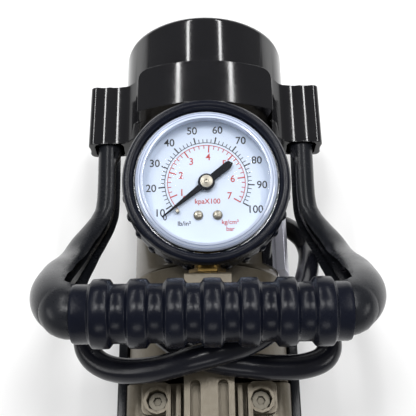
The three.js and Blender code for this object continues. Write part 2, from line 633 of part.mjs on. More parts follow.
class Arc extends THREE.Curve {
  constructor(radius, from, to, depth) {
    super();
    Object.assign(this, { radius, from, to, depth });
  }

  getPoint(t, target = new THREE.Vector3()) {
    const angle = this.from + (this.to - this.from) * t;
    return target.set(this.radius * Math.cos(angle), this.radius * Math.sin(angle), this.depth);
  }
}

function bourdonTube() {
  const arc = new Arc(18, -Math.PI * 0.38, Math.PI * 0.92, -STEM_DEPTH);
  return new THREE.ExtrudeGeometry(rounded(5, 2, 0.95), { extrudePath: arc, steps: 14, curveSegments: 1 });
}

function addGauge() {
  addGaugePart('gauge_case', gaugeCase(), 'steel');
  addGaugePart('gauge_stem', gaugeStem(), 'brass');
  addGaugePart('bourdon_tube', bourdonTube(), 'brass');
  const frame = join(block(-6, 6, -8, 8, -14.5, -12.9), block(-6, 6, -8, 8, -8.6, -7.2),
    ...[[-4.5, -6], [4.5, 6]].map(([x, y]) => rod(1, -13, -8, 'z', 8).translate(x, y, 0)));
  addGaugePart('gauge_movement', cut(frame, rod(0.8 + GAP, -9.5, -6, 'z', 10)), 'brass');
  addGaugePart('gauge_dial', tube(25, 1.3, -5.8, -5.2, 'z', 28), 'white');
  addGaugePart('gauge_pointer', pointer(), 'satinBlack');
  addGaugePart('gauge_lens', gaugeLens(), 'clear');
  addGaugePart('gauge_boot', gaugeBoot(), 'rubber');
}

// Handle
const ARM = [[42, 77, 56.5], [42, 52, 56.6], [41.6, 26, 57.3], [43, 17, 58.6], [46, 9, 62], [48.6, 2, 66.5],
  [50.4, -6, 73], [51.4, -14, 83], [51.2, -23, 98], [49.8, -31, 111], [46, -37, 119.6], [39, BAR_Y, BAR_Z]];

function handleCurve() {
  const right = ARM.map((p) => new THREE.Vector3(...p));
  const left = ARM.map(([x, y, z]) => new THREE.Vector3(-x, y, z)).reverse();
  return new THREE.CatmullRomCurve3([...right, new THREE.Vector3(0, BAR_Y, BAR_Z), ...left], false, 'centripetal');
}

// Radii of the handle by the share of its length, the same from both ends.
function handleRadius(t) {
  const end = Math.min(t, 1 - t);
  const steps = [[0, 5], [0.16, 5], [0.3, 8.4], [0.335, 8.8], [0.372, 8.4], [0.385, BAR_R], [0.5, BAR_R]];
  const next = steps.findIndex(([at]) => at > end);
  const [[a, low], [b, high]] = next < 0 ? [steps.at(-2), steps.at(-1)] : [steps[next - 1], steps[next]];
  const radius = low + (high - low) * Math.min(1, (end - a) / (b - a));
  return [radius, radius];
}

// The open side of the channel faces the middle of the machine and up.
function handlePocket(side) {
  const points = ARM.slice(1, 10).map(([x, y, z]) => new THREE.Vector3(side * x, y, z));
  if (side < 0) {
    points.reverse();
  }
  const curve = new THREE.CatmullRomCurve3(points, false, 'centripetal');
  const wide = (t) => {
    const along = side > 0 ? t : 1 - t;
    return 3.3 + 2.4 * along;
  };
  return sweep(curve, (t) => [wide(t), wide(t)], 6, 11, (t) => [wide(t) * 0.95, wide(t) * 0.35]);
}

function handleFrame() {
  const bar = solid(sweep(handleCurve(), handleRadius, 10, 44));
  const sleeve = tube(GRIP_R + 6, BAR_R, GRIP_SHIFT - GRIP_HALF - GAP, GRIP_SHIFT + GRIP_HALF + GAP, 'x', 18);
  return cut(bar, handlePocket(1), handlePocket(-1), sleeve.translate(0, BAR_Y, BAR_Z));
}

function handleGrip() {
  const [low, high] = [GRIP_SHIFT - GRIP_HALF, GRIP_SHIFT + GRIP_HALF];
  const bore = BAR_R + GAP;
  const profile = [[bore, low], [GRIP_R - 1, low], [GRIP_R, low + 1.2]];
  for (let i = -3; i <= 3; i += 1) {
    const middle = GRIP_SHIFT + 0.3 + i * 11.5;
    profile.push([GRIP_R, middle - 3.4], [RING_R, middle - 2.7], [RING_R, middle + 2.7], [GRIP_R, middle + 3.4]);
  }
  profile.push([GRIP_R, high - 1.2], [GRIP_R - 1, high], [bore, high], [bore, low]);
  return turned(profile, 'x', 14).translate(0, BAR_Y, BAR_Z);
}

function addHandle() {
  add('handle_frame', handleFrame(), 'satinBlack');
  add('handle_grip', handleGrip(), 'rubber');
}

// Base
function addBase() {
  const rearHalf = 20;
  const deck = new THREE.Shape();
  deck.moveTo(-BASE_HALF, -100);
  deck.lineTo(BASE_HALF, -100);
  deck.lineTo(BASE_HALF, -14);
  deck.lineTo(16, 6);
  deck.lineTo(16, 52);
  deck.lineTo(rearHalf, 58);
  deck.lineTo(rearHalf, 82);
  deck.lineTo(-rearHalf, 82);
  deck.lineTo(-rearHalf, 58);
  deck.lineTo(-16, 52);
  deck.lineTo(-16, 6);
  deck.lineTo(-BASE_HALF, -14);
  deck.closePath();
  const cheeks = [-1, 1].map((side) => {
    const cheek = polygon([[-100, 6], [-14, 6], [-14, 20], [-22, 44], [-30, 50], [-97, 50], [-100, 47]]);
    const [x0, x1] = side > 0 ? [CASE_HALF + GAP, BASE_HALF] : [-BASE_HALF, -CASE_HALF - GAP];
    return prism(cheek, 'x', x0, x1);
  });
  const saddle = block(-rearHalf, rearHalf, 60, 80, 6, 30);
  const keep = rod(HOUSING_R + GAP, 50, 90, 'y', 48).translate(0, 0, MOTOR_Z);
  const whole = cut(join(prism(deck, 'z', BASE_LOW, BASE_FLOOR), ...cheeks, saddle), keep,
    rod(GEARBOX_R + 0.5, -60, 0, 'y', 48).translate(0, 0, MOTOR_Z));
  add('base_cradle', whole, 'satinBlack');
  const feet = [['foot_front_left', -27, -86], ['foot_front_right', 27, -86],
    ['foot_rear_left', -14, 72], ['foot_rear_right', 14, 72]];
  for (const [name, x, y] of feet) {
    const pad = turned([[0, 0], [5.4, 0], [6, 0.8], [6, BASE_LOW - GAP], [0, BASE_LOW - GAP]], 'z', 12);
    add(name, pad.translate(x, y, 0), 'rubber');
  }
}

// Hose, from the outlet through one figure of eight and down to its chuck
const HOSE_ROUTE = [[20.3, -33, 87.5], [27, -33.2, 87.3], [35, -34.6, 87], [40.6, -38, 87.6],
  [42.4, -43, 89.6], [39.5, -48.5, 92], [32, -51.5, 94.5], [22, -52.3, 97], [12, -51.8, 99.3], [3, -50.5, 99.9],
  [-6, -47.5, 99.9], [-14, -42, 98.8], [-21, -34, 96.6], [-28.5, -27.4, 94], [-36.8, -27.6, 91], [-42.2, -33, 89],
  [-43.4, -40, 88.4], [-41, -46, 89.6], [-35, -50.5, 92.4], [-26, -52.8, 96.8], [-15.5, -53, 102.8],
  [-5.5, -51.5, 108], [4.5, -49, 109], [13.5, -45.5, 107], [21.6, -40, 103], [29, -31, 97], [34.4, -23, 86.2],
  [38, -13.6, 75], [41, -4.4, 62], [43, 5, 50], [42, 13, 44], [38.6, 19.4, 38.6], [36, 25, 30.4],
  [35, 29.8, 20.6], [34, 34.4, 11.6], [32, 39, 7], [30, 44, 6.3], [29, 49, 6.3]];

function airHose() {
  const curve = new THREE.CatmullRomCurve3(HOSE_ROUTE.map((p) => new THREE.Vector3(...p)), false, 'centripetal');
  const ring = [0, 1, 2, 3, 4, 5, 6, 7].map((i) => [HOSE_R * Math.cos(i * Math.PI / 4),
    HOSE_R * Math.sin(i * Math.PI / 4)]);
  return new THREE.ExtrudeGeometry(polygon(ring), { extrudePath: curve, steps: 56 });
}

function addHose() {
  const fitting = join(rod(3.2, 1, 9, 'x', 10), prism(polygon([0, 1, 2, 3, 4, 5].map((i) => [
    5.4 * Math.cos(i * Math.PI / 3), 5.4 * Math.sin(i * Math.PI / 3)])), 'x', NECK_HALF + GAP, 12.5),
  rod(4.9, 12, 20, 'x', 12));
  add('hose_fitting', fitting.translate([0, OUTLET_Y, OUTLET_Z]), 'brass');
  add('air_hose', airHose(), 'rubber');
  const chuck = turned([[0, 50.3], [4.9, 50.3], [4.9, 56], [6, 57.5], [6, 74], [5.2, 75], [5.2, 84], [6, 85],
    [6, 89], [0, 89]], 'y', 14);
  const mouth = rod(4, 82, 90, 'y', 16);
  const slot = block(-2.2, 2.2, 61, 80, 1.5, 8);
  add('chuck_body', toGeometry(cut(chuck, mouth, slot)).rotateY(Math.PI / 2).translate(29, 0, 6.3), 'silver');
  const lever = prism(polygon([[60.5, 6.6], [65, 3.4], [76, 3.4], [77, 5.4], [75, 6.9], [64, 7.3], [58, 9.2],
    [50, 10.2], [50, 8.8], [57, 7.4]]), 'x', -1.9, 1.9);
  add('chuck_lever', lever.rotateY(Math.PI / 2).translate(29, 0, 6.3), 'glossBlack');
}

addMotor();
addRear();
addGearTrain();
addCylinder();
addGauge();
addHandle();
addBase();
addHose();

export default machine;
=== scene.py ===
# %% [markdown]
# # A portable electric air compressor
# The machine lies along Y: a motor under a black cap at the back, a finned head
# at the front, a gauge on top and a bent handle over everything. The engineering
# model gives exact places, and this file gives the pieces their finished shapes
# and surfaces. Lengths are written in millimetres and turned to metres by MM.

# %% Load the engineering model
import json
import math

import bmesh
import bpy
from mathutils import Matrix, Vector


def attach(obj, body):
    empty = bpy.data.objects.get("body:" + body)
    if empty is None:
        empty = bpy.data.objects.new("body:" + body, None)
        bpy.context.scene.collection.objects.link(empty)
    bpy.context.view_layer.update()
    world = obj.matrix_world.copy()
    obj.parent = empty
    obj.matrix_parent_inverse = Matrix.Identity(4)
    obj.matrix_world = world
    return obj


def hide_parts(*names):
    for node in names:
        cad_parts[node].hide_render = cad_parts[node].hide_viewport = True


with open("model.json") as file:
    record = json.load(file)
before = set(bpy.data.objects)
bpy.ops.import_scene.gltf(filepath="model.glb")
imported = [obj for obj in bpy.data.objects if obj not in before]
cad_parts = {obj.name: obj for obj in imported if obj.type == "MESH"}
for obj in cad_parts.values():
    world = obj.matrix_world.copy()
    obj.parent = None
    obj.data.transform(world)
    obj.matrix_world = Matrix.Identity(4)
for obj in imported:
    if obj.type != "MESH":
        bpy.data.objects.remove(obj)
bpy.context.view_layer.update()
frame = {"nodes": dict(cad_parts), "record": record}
MM = 0.001

# %% [markdown]
# ## Camera
# The machine is seen from the front and from high above, so the dial is almost
# face on while the handle and the cap still show their depth. A long lens from
# close by gives the strong taper from the grip down to the cap.

# %% Place the camera
AIM = Vector((0.4, 2, 107)) * MM
CAMERA_AWAY = 260 * MM
CAMERA_RISE = math.radians(67)
CAMERA_SIDE = math.radians(0.8)
CAMERA_LENS = 63.9
CAMERA_SENSOR = 36
back = Vector((math.sin(CAMERA_SIDE) * math.cos(CAMERA_RISE) * -1,
               -math.cos(CAMERA_SIDE) * math.cos(CAMERA_RISE), math.sin(CAMERA_RISE)))
camera = bpy.data.objects.new("camera", bpy.data.cameras.new("camera"))
camera.data.lens = CAMERA_LENS
camera.data.sensor_width = CAMERA_SENSOR
camera.data.clip_start = 10 * MM
camera.location = AIM + back * CAMERA_AWAY
camera.rotation_mode = "QUATERNION"
camera.rotation_quaternion = (-back).to_track_quat("-Z", "Y")
bpy.context.scene.collection.objects.link(camera)
bpy.context.scene.camera = camera
print("camera", [round(x, 3) for x in camera.location])

# %% [markdown]
# ## Shape helpers
# Three tools make nearly every piece: a turned profile, a flat outline pushed
# out to a thickness, and a section carried along a line. Each builds its mesh
# with bmesh and closes it, so that the result is a real solid.


# %% Helpers for meshes
WELD = 1e-4
AXIS_GAP = 1e-3


def finish_mesh(name, bm, body, smooth_angle=35):
    """Turns a bmesh in millimetres into a piece that rides on a body."""
    bmesh.ops.remove_doubles(bm, verts=bm.verts, dist=WELD)
    bmesh.ops.recalc_face_normals(bm, faces=bm.faces)
    bmesh.ops.scale(bm, vec=(MM, MM, MM), verts=bm.verts)
    mesh = bpy.data.meshes.new(name)
    bm.to_mesh(mesh)
    bm.free()
    soften(mesh, smooth_angle)
    piece = bpy.data.objects.new(name, mesh)
    bpy.context.scene.collection.objects.link(piece)
    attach(piece, body)
    return piece


def soften(mesh, degrees):
    """Shades a mesh smooth, with creases where faces meet at more than the angle."""
    limit = math.radians(degrees)
    bm = bmesh.new()
    bm.from_mesh(mesh)
    for face in bm.faces:
        face.smooth = True
    for edge in bm.edges:
        edge.smooth = len(edge.link_faces) == 2 and edge.calc_face_angle(0) < limit
    bm.to_mesh(mesh)
    bm.free()


def grid_faces(bm, rings, closed_along=False):
    """Skins rings of points that all have the same count, and caps open ends."""
    loops = [[bm.verts.new(p) for p in ring] for ring in rings]
    count = len(loops[0])
    pairs = list(zip(loops[:-1], loops[1:]))
    if closed_along:
        pairs.append((loops[-1], loops[0]))
    for near, far in pairs:
        for i in range(count):
            j = (i + 1) % count
            bm.faces.new((near[i], near[j], far[j], far[i]))
    if not closed_along:
        bm.faces.new(loops[0][::-1])
        bm.faces.new(loops[-1])


def turned(name, profile, place, body, segments=96, closed=False, smooth_angle=35):
    """Turns (radius, height) points about local Z, then puts it in place."""
    bm = bmesh.new()
    rings = []
    angles = [2 * math.pi * i / segments for i in range(segments)]
    for radius, height in profile:
        r = max(radius, AXIS_GAP)
        rings.append([place @ Vector((r * math.cos(a), r * math.sin(a), height)) for a in angles])
    grid_faces(bm, rings, closed_along=closed)
    return finish_mesh(name, bm, body, smooth_angle)


def slab(bm, outline, low, high, place):
    """A flat outline of (x, y) points with a thickness, added to a bmesh."""
    bottom = [bm.verts.new(place @ Vector((x, y, low))) for x, y in outline]
    top = [bm.verts.new(place @ Vector((x, y, high))) for x, y in outline]
    bm.faces.new(bottom[::-1])
    bm.faces.new(top)
    for i in range(len(outline)):
        j = (i + 1) % len(outline)
        bm.faces.new((bottom[i], bottom[j], top[j], top[i]))


def smooth_line(points, per_span):
    """Points on a smooth line through the given ones."""
    found = []
    ends = [2 * points[0] - points[1], *points, 2 * points[-1] - points[-2]]
    for a, b, c, d in zip(ends[:-3], ends[1:-2], ends[2:-1], ends[3:]):
        for i in range(per_span):
            t = i / per_span
            found.append(0.5 * (2 * b + (c - a) * t + (2 * a - 5 * b + 4 * c - d) * t * t
                                + (3 * b - 3 * c + d - a) * t ** 3))
    found.append(points[-1].copy())
    return found


def baked_mesh(maker):
    """The mesh of an object with its modifiers or letters worked in. The object is removed."""
    bpy.context.view_layer.update()
    ready = maker.evaluated_get(bpy.context.evaluated_depsgraph_get())
    mesh = bpy.data.meshes.new_from_object(ready)
    bpy.data.objects.remove(maker)
    return mesh


print("helpers ready")

# %% [markdown]
# ## The air hose
# A rubber hose is one bendy line of even thickness, so a round section is
# carried along a smooth line. It leaves the brass outlet on the neck, makes one
# figure of eight under the grip, and goes back under the right arm to its chuck.

# %% Lay the hose
HOSE_RADIUS = 4.3
HOSE_SIDES = 24
STEPS_PER_SPAN = 6
HOSE_ROUTE = [
    (20.3, -33, 87.5), (27, -33.2, 87.3), (35, -34.6, 87), (40.6, -38, 87.6), (42.4, -43, 89.6),
    (39.5, -48.5, 92), (32, -51.5, 94.5), (22, -52.3, 97), (12, -51.8, 99.3), (3, -50.5, 99.9),
    (-6, -47.5, 99.9), (-14, -42, 98.8), (-21, -34, 96.6), (-28.5, -27.4, 94), (-36.8, -27.6, 91),
    (-42.2, -33, 89), (-43.4, -40, 88.4), (-41, -46, 89.6), (-35, -50.5, 92.4), (-26, -52.8, 96.8),
    (-15.5, -53, 102.8), (-5.5, -51.5, 108), (4.5, -49, 109), (13.5, -45.5, 107), (21.6, -40, 103),
    (29, -31, 97), (34.4, -23, 86.2), (38, -13.6, 75), (41, -4.4, 62), (43, 5, 50), (42, 13, 44),
    (38.6, 19.4, 38.6), (36, 25, 30.4), (35, 29.8, 20.6), (34, 34.4, 11.6), (32, 39, 7), (30, 44, 6.3),
    (29, 49, 6.3)]


def tube_piece(name, line, radius, body):
    """A round tube along a line of points, kept from twisting."""
    rings = []
    side = Vector((0, 0, 1))
    angles = [2 * math.pi * k / HOSE_SIDES for k in range(HOSE_SIDES)]
    for i, centre in enumerate(line):
        along = (line[min(i + 1, len(line) - 1)] - line[max(i - 1, 0)]).normalized()
        side = (side - along * side.dot(along)).normalized()
        third = along.cross(side)
        rings.append([centre + (side * math.cos(a) + third * math.sin(a)) * radius for a in angles])
    bm = bmesh.new()
    grid_faces(bm, rings)
    return finish_mesh(name, bm, body, 50)


hose_line = smooth_line([Vector(p) for p in HOSE_ROUTE], STEPS_PER_SPAN)
hose = tube_piece("hose_skin", hose_line, HOSE_RADIUS, "frame")
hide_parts("air_hose")

# %% [markdown]
# ## Surface effects
# Moulded plastic, rubber, paint and metal differ in how their shine breaks up.
# These effects are needed by many materials, so each is one node group with
# its own inputs: fine grain for a bump, blotches for uneven gloss, and wear
# that finds the edges.


# %% Build the shared node groups
def new_group(name, inputs, outputs):
    """An empty shader node group with named inputs and outputs."""
    group = bpy.data.node_groups.new(name, "ShaderNodeTree")
    for label, kind, value in inputs:
        made = group.interface.new_socket(label, in_out="INPUT", socket_type=kind)
        made.default_value = value
    for label, kind in outputs:
        group.interface.new_socket(label, in_out="OUTPUT", socket_type=kind)
    return group, group.nodes.new("NodeGroupInput"), group.nodes.new("NodeGroupOutput")


def node(tree, kind, **settings):
    """A new node in a tree, with its settings filled in."""
    made = tree.nodes.new(kind)
    for key, value in settings.items():
        setattr(made, key, value)
    return made


def build_blotches():
    """Large soft patches and small specks, mixed, from 0 to 1."""
    group, ins, outs = new_group("blotches", [
        ("Patch Scale", "NodeSocketFloat", 60.0), ("Speck Scale", "NodeSocketFloat", 900.0),
        ("Speck Share", "NodeSocketFloat", 0.3)], [("Mask", "NodeSocketFloat")])
    place = node(group, "ShaderNodeTexCoord")
    patches = node(group, "ShaderNodeTexNoise")
    specks = node(group, "ShaderNodeTexNoise")
    patches.inputs["Detail"].default_value = 5
    specks.inputs["Detail"].default_value = 2
    mix = node(group, "ShaderNodeMix")
    group.links.new(place.outputs["Object"], patches.inputs["Vector"])
    group.links.new(place.outputs["Object"], specks.inputs["Vector"])
    group.links.new(ins.outputs["Patch Scale"], patches.inputs["Scale"])
    group.links.new(ins.outputs["Speck Scale"], specks.inputs["Scale"])
    group.links.new(ins.outputs["Speck Share"], mix.inputs["Factor"])
    group.links.new(patches.outputs["Fac"], mix.inputs["A"])
    group.links.new(specks.outputs["Fac"], mix.inputs["B"])
    group.links.new(mix.outputs["Result"], outs.inputs["Mask"])
    return group


def build_edge_wear():
    """A mask that is 1 on sharp convex edges, broken up so that it looks rubbed."""
    group, ins, outs = new_group("edge_wear", [
        ("Amount", "NodeSocketFloat", 0.5), ("Break Scale", "NodeSocketFloat", 400.0)],
        [("Mask", "NodeSocketFloat")])
    shape = node(group, "ShaderNodeNewGeometry")
    place = node(group, "ShaderNodeTexCoord")
    breaks = node(group, "ShaderNodeTexNoise")
    edge = node(group, "ShaderNodeMapRange")
    edge.inputs["From Min"].default_value = 0.52
    edge.inputs["From Max"].default_value = 0.62
    rub = node(group, "ShaderNodeMath", operation="MULTIPLY")
    level = node(group, "ShaderNodeMath", operation="MULTIPLY")
    group.links.new(shape.outputs["Pointiness"], edge.inputs["Value"])
    group.links.new(place.outputs["Object"], breaks.inputs["Vector"])
    group.links.new(ins.outputs["Break Scale"], breaks.inputs["Scale"])
    group.links.new(edge.outputs["Result"], rub.inputs[0])
    group.links.new(breaks.outputs["Fac"], rub.inputs[1])
    group.links.new(rub.outputs[0], level.inputs[0])
    group.links.new(ins.outputs["Amount"], level.inputs[1])
    group.links.new(level.outputs[0], outs.inputs["Mask"])
    return group


def build_grain():
    """A height for a bump: fine pebbles with long faint scratches over them."""
    group, ins, outs = new_group("grain", [
        ("Grain Scale", "NodeSocketFloat", 1500.0), ("Scratch Share", "NodeSocketFloat", 0.2),
        ("Stretch", "NodeSocketVector", (1.0, 1.0, 1.0))], [("Height", "NodeSocketFloat")])
    place = node(group, "ShaderNodeTexCoord")
    pebbles = node(group, "ShaderNodeTexNoise")
    pebbles.inputs["Detail"].default_value = 3
    pull = node(group, "ShaderNodeVectorMath", operation="MULTIPLY")
    lines = node(group, "ShaderNodeTexNoise")
    lines.inputs["Scale"].default_value = 900
    mix = node(group, "ShaderNodeMix")
    group.links.new(place.outputs["Object"], pebbles.inputs["Vector"])
    group.links.new(ins.outputs["Grain Scale"], pebbles.inputs["Scale"])
    group.links.new(place.outputs["Object"], pull.inputs[0])
    group.links.new(ins.outputs["Stretch"], pull.inputs[1])
    group.links.new(pull.outputs[0], lines.inputs["Vector"])
    group.links.new(ins.outputs["Scratch Share"], mix.inputs["Factor"])
    group.links.new(pebbles.outputs["Fac"], mix.inputs["A"])
    group.links.new(lines.outputs["Fac"], mix.inputs["B"])
    group.links.new(mix.outputs["Result"], outs.inputs["Height"])
    return group


BLOTCHES = build_blotches()
EDGE_WEAR = build_edge_wear()
GRAIN = build_grain()
print("groups", [g.name for g in bpy.data.node_groups])

# %% [markdown]
# ## Finishes
# Every finish shares one recipe: two close colours mixed by blotches, a third
# on worn edges, a gloss that varies the same way, and a grain bump. What makes
# rubber, paint or steel is the values that go in.


# %% One recipe for all finishes
RELIEF_DEPTH = 0.0004
COAT_GLOSS = 0.1


def finish(name, dark, light, worn, gloss, metallic=0.0, patch=60, grain=1500, bump=0.05,
           stretch=(1, 1, 1), wear=0.4, scratch=0.2, coat=0.0, mirror=0.5):
    """A material: dark and light mix over the surface, worn lies on edges, gloss is (low, high)."""
    material = bpy.data.materials.new(name)
    material.use_nodes = True
    tree = material.node_tree
    shader = tree.nodes["Principled BSDF"]
    blotch = node(tree, "ShaderNodeGroup", node_tree=BLOTCHES)
    blotch.inputs["Patch Scale"].default_value = patch
    edge = node(tree, "ShaderNodeGroup", node_tree=EDGE_WEAR)
    edge.inputs["Amount"].default_value = wear
    rough = node(tree, "ShaderNodeGroup", node_tree=GRAIN)
    rough.inputs["Grain Scale"].default_value = grain
    rough.inputs["Stretch"].default_value = stretch
    rough.inputs["Scratch Share"].default_value = scratch
    base = node(tree, "ShaderNodeMix", data_type="RGBA")
    base.inputs["A"].default_value = (*dark, 1)
    base.inputs["B"].default_value = (*light, 1)
    rubbed = node(tree, "ShaderNodeMix", data_type="RGBA")
    rubbed.inputs["B"].default_value = (*worn, 1)
    shine = node(tree, "ShaderNodeMapRange")
    shine.inputs["From Min"].default_value = 0.3
    shine.inputs["From Max"].default_value = 0.7
    shine.inputs["To Min"].default_value = gloss[0]
    shine.inputs["To Max"].default_value = gloss[1]
    relief = node(tree, "ShaderNodeBump")
    relief.inputs["Strength"].default_value = bump
    relief.inputs["Distance"].default_value = RELIEF_DEPTH
    links = tree.links
    links.new(blotch.outputs["Mask"], base.inputs["Factor"])
    links.new(base.outputs["Result"], rubbed.inputs["A"])
    links.new(edge.outputs["Mask"], rubbed.inputs["Factor"])
    links.new(rubbed.outputs["Result"], shader.inputs["Base Color"])
    links.new(blotch.outputs["Mask"], shine.inputs["Value"])
    links.new(shine.outputs["Result"], shader.inputs["Roughness"])
    links.new(rough.outputs["Height"], relief.inputs["Height"])
    links.new(relief.outputs["Normal"], shader.inputs["Normal"])
    shader.inputs["Metallic"].default_value = metallic
    shader.inputs["Coat Weight"].default_value = coat
    shader.inputs["Coat Roughness"].default_value = COAT_GLOSS
    shader.inputs["Specular IOR Level"].default_value = mirror
    return material


FINISH = {
    "gloss_black": finish(
        "gloss_black", (0.004, 0.004, 0.005), (0.008, 0.008, 0.01), (0.03, 0.03, 0.035), (0.07, 0.14),
        bump=0.02, grain=1200, wear=0.3),
    "satin_black": finish(
        "satin_black", (0.007, 0.008, 0.01), (0.013, 0.014, 0.018), (0.05, 0.05, 0.058), (0.2, 0.32),
        bump=0.1, grain=2200, wear=0.35, mirror=0.22),
    "black_rubber": finish(
        "black_rubber", (0.0025, 0.003, 0.006), (0.005, 0.0065, 0.014), (0.014, 0.016, 0.028), (0.2, 0.3),
        bump=0.1, grain=1800, wear=0.35, mirror=0.17),
    "hose_rubber": finish(
        "hose_rubber", (0.005, 0.005, 0.008), (0.009, 0.01, 0.015), (0.02, 0.02, 0.03), (0.18, 0.28),
        bump=0.06, grain=900, wear=0.2, mirror=0.22),
    "taupe_paint": finish(
        "taupe_paint", (0.078, 0.066, 0.048), (0.106, 0.092, 0.069), (0.2, 0.185, 0.155), (0.26, 0.4),
        metallic=0.2, bump=0.06, grain=900, wear=0.5, coat=0.3),
    "cast_alloy": finish(
        "cast_alloy", (0.09, 0.074, 0.05), (0.135, 0.114, 0.08), (0.29, 0.265, 0.215), (0.3, 0.46),
        metallic=0.35, bump=0.35, grain=1100, wear=0.9),
    "steel": finish(
        "steel", (0.42, 0.43, 0.45), (0.6, 0.61, 0.63), (0.8, 0.8, 0.82), (0.18, 0.34),
        metallic=1, bump=0.08, grain=1600, stretch=(6, 0.4, 1), scratch=0.6),
    "nickel": finish(
        "nickel", (0.2, 0.185, 0.15), (0.3, 0.28, 0.235), (0.48, 0.46, 0.4), (0.3, 0.42),
        metallic=1, bump=0.05, grain=2400, scratch=0.5),
    "screw_steel": finish(
        "screw_steel", (0.075, 0.068, 0.055), (0.12, 0.11, 0.09), (0.2, 0.19, 0.16), (0.36, 0.5),
        metallic=1, bump=0.1, grain=1600, scratch=0.5),
    "brass": finish(
        "brass", (0.12, 0.075, 0.022), (0.2, 0.13, 0.042), (0.34, 0.24, 0.1), (0.28, 0.42),
        metallic=1, bump=0.08, grain=1500, scratch=0.5),
    "copper": finish(
        "copper", (0.35, 0.12, 0.05), (0.55, 0.22, 0.1), (0.7, 0.36, 0.2), (0.25, 0.4),
        metallic=1, bump=0.3, grain=2600, stretch=(1, 12, 1), scratch=0.8),
    "ferrite": finish(
        "ferrite", (0.03, 0.03, 0.032), (0.06, 0.06, 0.064), (0.1, 0.1, 0.1), (0.6, 0.8), bump=0.2),
    "carbon": finish(
        "carbon", (0.015, 0.015, 0.016), (0.03, 0.03, 0.032), (0.08, 0.08, 0.08), (0.4, 0.6)),
    "dial_white": finish(
        "dial_white", (0.6, 0.69, 0.84), (0.65, 0.74, 0.88), (0.7, 0.78, 0.9), (0.42, 0.5),
        bump=0.01, patch=25, wear=0.0),
    "silver": finish(
        "silver", (0.42, 0.42, 0.5), (0.58, 0.58, 0.66), (0.75, 0.75, 0.8), (0.25, 0.4),
        metallic=0.6, bump=0.05, stretch=(8, 0.3, 1), scratch=0.6),
    "ptfe": finish(
        "ptfe", (0.5, 0.45, 0.35), (0.62, 0.57, 0.46), (0.7, 0.66, 0.56), (0.4, 0.55)),
    "fibre": finish(
        "fibre", (0.05, 0.065, 0.045), (0.1, 0.125, 0.085), (0.16, 0.18, 0.13), (0.7, 0.9), bump=0.4),
    "ink_black": finish(
        "ink_black", (0.004, 0.004, 0.006), (0.009, 0.009, 0.012), (0.012, 0.012, 0.014), (0.4, 0.5),
        bump=0.01, wear=0.0),
    "ink_red": finish(
        "ink_red", (0.42, 0.02, 0.015), (0.5, 0.03, 0.022), (0.5, 0.03, 0.022), (0.4, 0.5),
        bump=0.01, wear=0.0),
    # The window rim is clear plastic: its opaque pale blue-white tones are painted light, standing in for the
    # dial's light seen through the rim.
    "window_rim": finish(
        "window_rim", (0.5, 0.57, 0.72), (0.6, 0.66, 0.8), (0.7, 0.76, 0.88), (0.08, 0.16),
        bump=0.02, patch=90, wear=0.6, coat=0.5),
}
print("finishes", len(FINISH))


# %% The clear window of the gauge
def window_material():
    """Thin clear plastic: nearly invisible face on, with faint smudges in patches."""
    material = bpy.data.materials.new("clear_window")
    material.use_nodes = True
    tree = material.node_tree
    shader = tree.nodes["Principled BSDF"]
    shader.inputs["Roughness"].default_value = 0.03
    blotch = node(tree, "ShaderNodeGroup", node_tree=BLOTCHES)
    blotch.inputs["Patch Scale"].default_value = 40
    tint = node(tree, "ShaderNodeMix", data_type="RGBA")
    tint.inputs["A"].default_value = (0.1, 0.13, 0.18, 1)
    tint.inputs["B"].default_value = (0.16, 0.2, 0.26, 1)
    smudge = node(tree, "ShaderNodeMapRange")
    smudge.inputs["To Min"].default_value = 0.012
    smudge.inputs["To Max"].default_value = 0.03
    tree.links.new(blotch.outputs["Mask"], tint.inputs["Factor"])
    tree.links.new(tint.outputs["Result"], shader.inputs["Base Color"])
    tree.links.new(blotch.outputs["Mask"], smudge.inputs["Value"])
    tree.links.new(smudge.outputs["Result"], shader.inputs["Alpha"])
    return material


FINISH["clear"] = window_material()
print("window finish", FINISH["clear"].name)

# %% [markdown]
# ## Finishes on the engineering parts
# Most parts already have their true shape. They only need their finish, and
# normals that are smooth round a curve and sharp at an edge.

# %% Give every node its finish
CREASE = 32
slot_of = {s["node"]: s["material_slot"] for s in frame["record"]["subparts"]}
for name, thing in frame["nodes"].items():
    thing.data.materials.clear()
    thing.data.materials.append(FINISH[slot_of[name]])
    soften(thing.data, CREASE)
print("finished nodes", len(slot_of))


def dress(piece, finish_name, slot=None):
    """Gives a piece its finish. The slot argument is not used."""
    piece.data.materials.clear()
    piece.data.materials.append(FINISH[finish_name])
    slot or finish_name
    return piece


dress(hose, "hose_rubber", "black_rubber")

# %% [markdown]
# Real moulded and cast edges are never razor sharp: a small round catches the
# light. The outer parts get a copy with merged points and a bevel on each real
# edge, and the copy stands in for the plain part. One fault remains: the rear
# housing's copy has a thin stray wall across its bore, out of sight inside the
# machine, and the rotor passes through it.


# %% Round the edges of the outer parts
POINT_WELD = 2e-6
FLAT_ENOUGH = math.radians(1)
BEVEL_STEPS = 2
LARGE_FACE_WEIGHT = 90
bodies = frame["record"]["behaviour"]["bodies"]
body_of_node = {n: body for body, names in bodies.items() for n in names}


